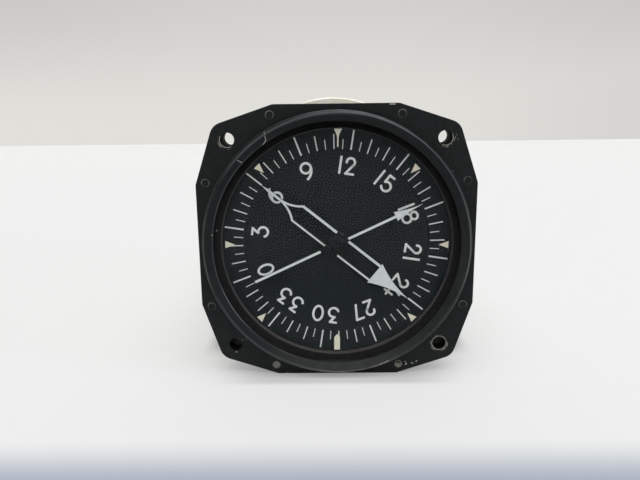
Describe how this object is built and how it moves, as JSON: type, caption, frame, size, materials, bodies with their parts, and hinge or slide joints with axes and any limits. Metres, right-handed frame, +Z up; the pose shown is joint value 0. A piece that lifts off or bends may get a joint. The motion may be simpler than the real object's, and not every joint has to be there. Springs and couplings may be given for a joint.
{
  "type": "radio magnetic indicator",
  "caption": "Square-flanged round-dial panel instrument with a turning compass card, two coaxial bearing pointers and a sealed cylindrical case.",
  "frame": {"origin": "on the instrument's axis, in the front face of the flange that lies against the panel", "axes": "+Y runs along the axis into the panel, away from the reader; +Z is up on the dial; +X is to the right as the reader sees it"},
  "size_m": [0.0848, 0.1228, 0.0848],
  "materials": {
    "black_paint": "satin black enamel, worn to metal on edges",
    "rivet_black": "satin black",
    "gasket_rubber": "matte",
    "clear_glass": "clear polished",
    "mask_black": "matte black",
    "plated_case": "dull pale yellow-green plating",
    "bright_screws": "satin",
    "chassis_alloy": "machined",
    "steel_posts": "turned",
    "brass": "machined",
    "bush_bronze": "machined",
    "bearing_steel": "ground",
    "card_black": "matte blue-black paint",
    "pointer_white": "matte white paint",
    "cap_black": "matte black paint",
    "rotor_winding": "varnished stack",
    "machine_housing": "satin",
    "circuit_board": "varnished laminate",
    "board_components": "moulded",
    "connector_metal": "olive drab plating",
    "connector_plastic": "moulded",
    "contact_gold": "gold plated"
  },
  "bodies": {
    "case": {"front_bezel": "black_paint", "flange_rivets": "rivet_black", "glass_gasket": "gasket_rubber", "cover_glass": "clear_glass", "index_mask": "mask_black", "glass_retainer": "mask_black", "backing_frame": "black_paint", "case_can": "plated_case", "closing_band": "plated_case", "rear_cover": "plated_case", "cover_screws": "bright_screws", "front_plate": "chassis_alloy", "middle_plate": "chassis_alloy", "rear_plate": "chassis_alloy", "front_posts": "steel_posts", "middle_posts": "steel_posts", "rear_posts": "steel_posts", "post_screws": "bright_screws", "fixed_sleeve": "steel_posts", "sleeve_nut": "brass", "sleeve_bushes": "bush_bronze", "bearing_inner_race": "bearing_steel", "bearing_balls": "bearing_steel", "single_stator": "machine_housing", "double_stator": "machine_housing", "servo_motor": "machine_housing", "heading_stator": "machine_housing", "machine_bushes": "bush_bronze", "machine_clamps": "steel_posts", "clamp_screws": "bright_screws", "amplifier_board": "circuit_board", "board_parts": "board_components", "board_standoffs": "steel_posts", "board_screws": "bright_screws", "connector_shell": "connector_metal", "connector_insert": "connector_plastic", "connector_pins": "contact_gold", "connector_screws": "bright_screws", "mounting_nuts": "steel_posts"},
    "card": {"compass_card": "card_black", "card_hub": "chassis_alloy", "card_gear": "brass", "gear_spacer": "chassis_alloy", "heading_gear": "brass", "gear_screws": "bright_screws", "bearing_outer_race": "bearing_steel"},
    "single_needle": {"single_pointer": "pointer_white", "pointer_cap": "cap_black", "balance_weight": "cap_black", "single_shaft": "bearing_steel", "single_rotor": "rotor_winding"},
    "double_needle": {"double_pointer": "pointer_white", "double_tube": "bearing_steel", "tube_bushes": "bush_bronze", "double_rotor": "rotor_winding"},
    "motor_shaft": {"motor_rotor": "rotor_winding", "motor_pinion": "brass"},
    "synchro_shaft": {"heading_rotor": "rotor_winding", "synchro_gear": "brass"}
  },
  "joints": [
    {"name": "card_spin", "type": "hinge", "parent": "case", "child": "card", "pos_m": [0, 0, 0], "axis": [0, 1, 0], "continuous": true},
    {"name": "single_needle_spin", "type": "hinge", "parent": "case", "child": "single_needle", "pos_m": [0, 0, 0], "axis": [0, 1, 0], "continuous": true},
    {"name": "double_needle_spin", "type": "hinge", "parent": "case", "child": "double_needle", "pos_m": [0, 0, 0], "axis": [0, 1, 0], "continuous": true},
    {"name": "motor_spin", "type": "hinge", "parent": "case", "child": "motor_shaft", "pos_m": [-0.02338, 0, -0.0135], "axis": [0, 1, 0], "continuous": true},
    {"name": "synchro_spin", "type": "hinge", "parent": "case", "child": "synchro_shaft", "pos_m": [0.01732, 0, 0.01], "axis": [0, 1, 0], "continuous": true}
  ],
  "couplings": [
    {"joint": "motor_spin", "follows": "card_spin", "ratio": -8},
    {"joint": "synchro_spin", "follows": "card_spin", "ratio": -1}
  ]
}
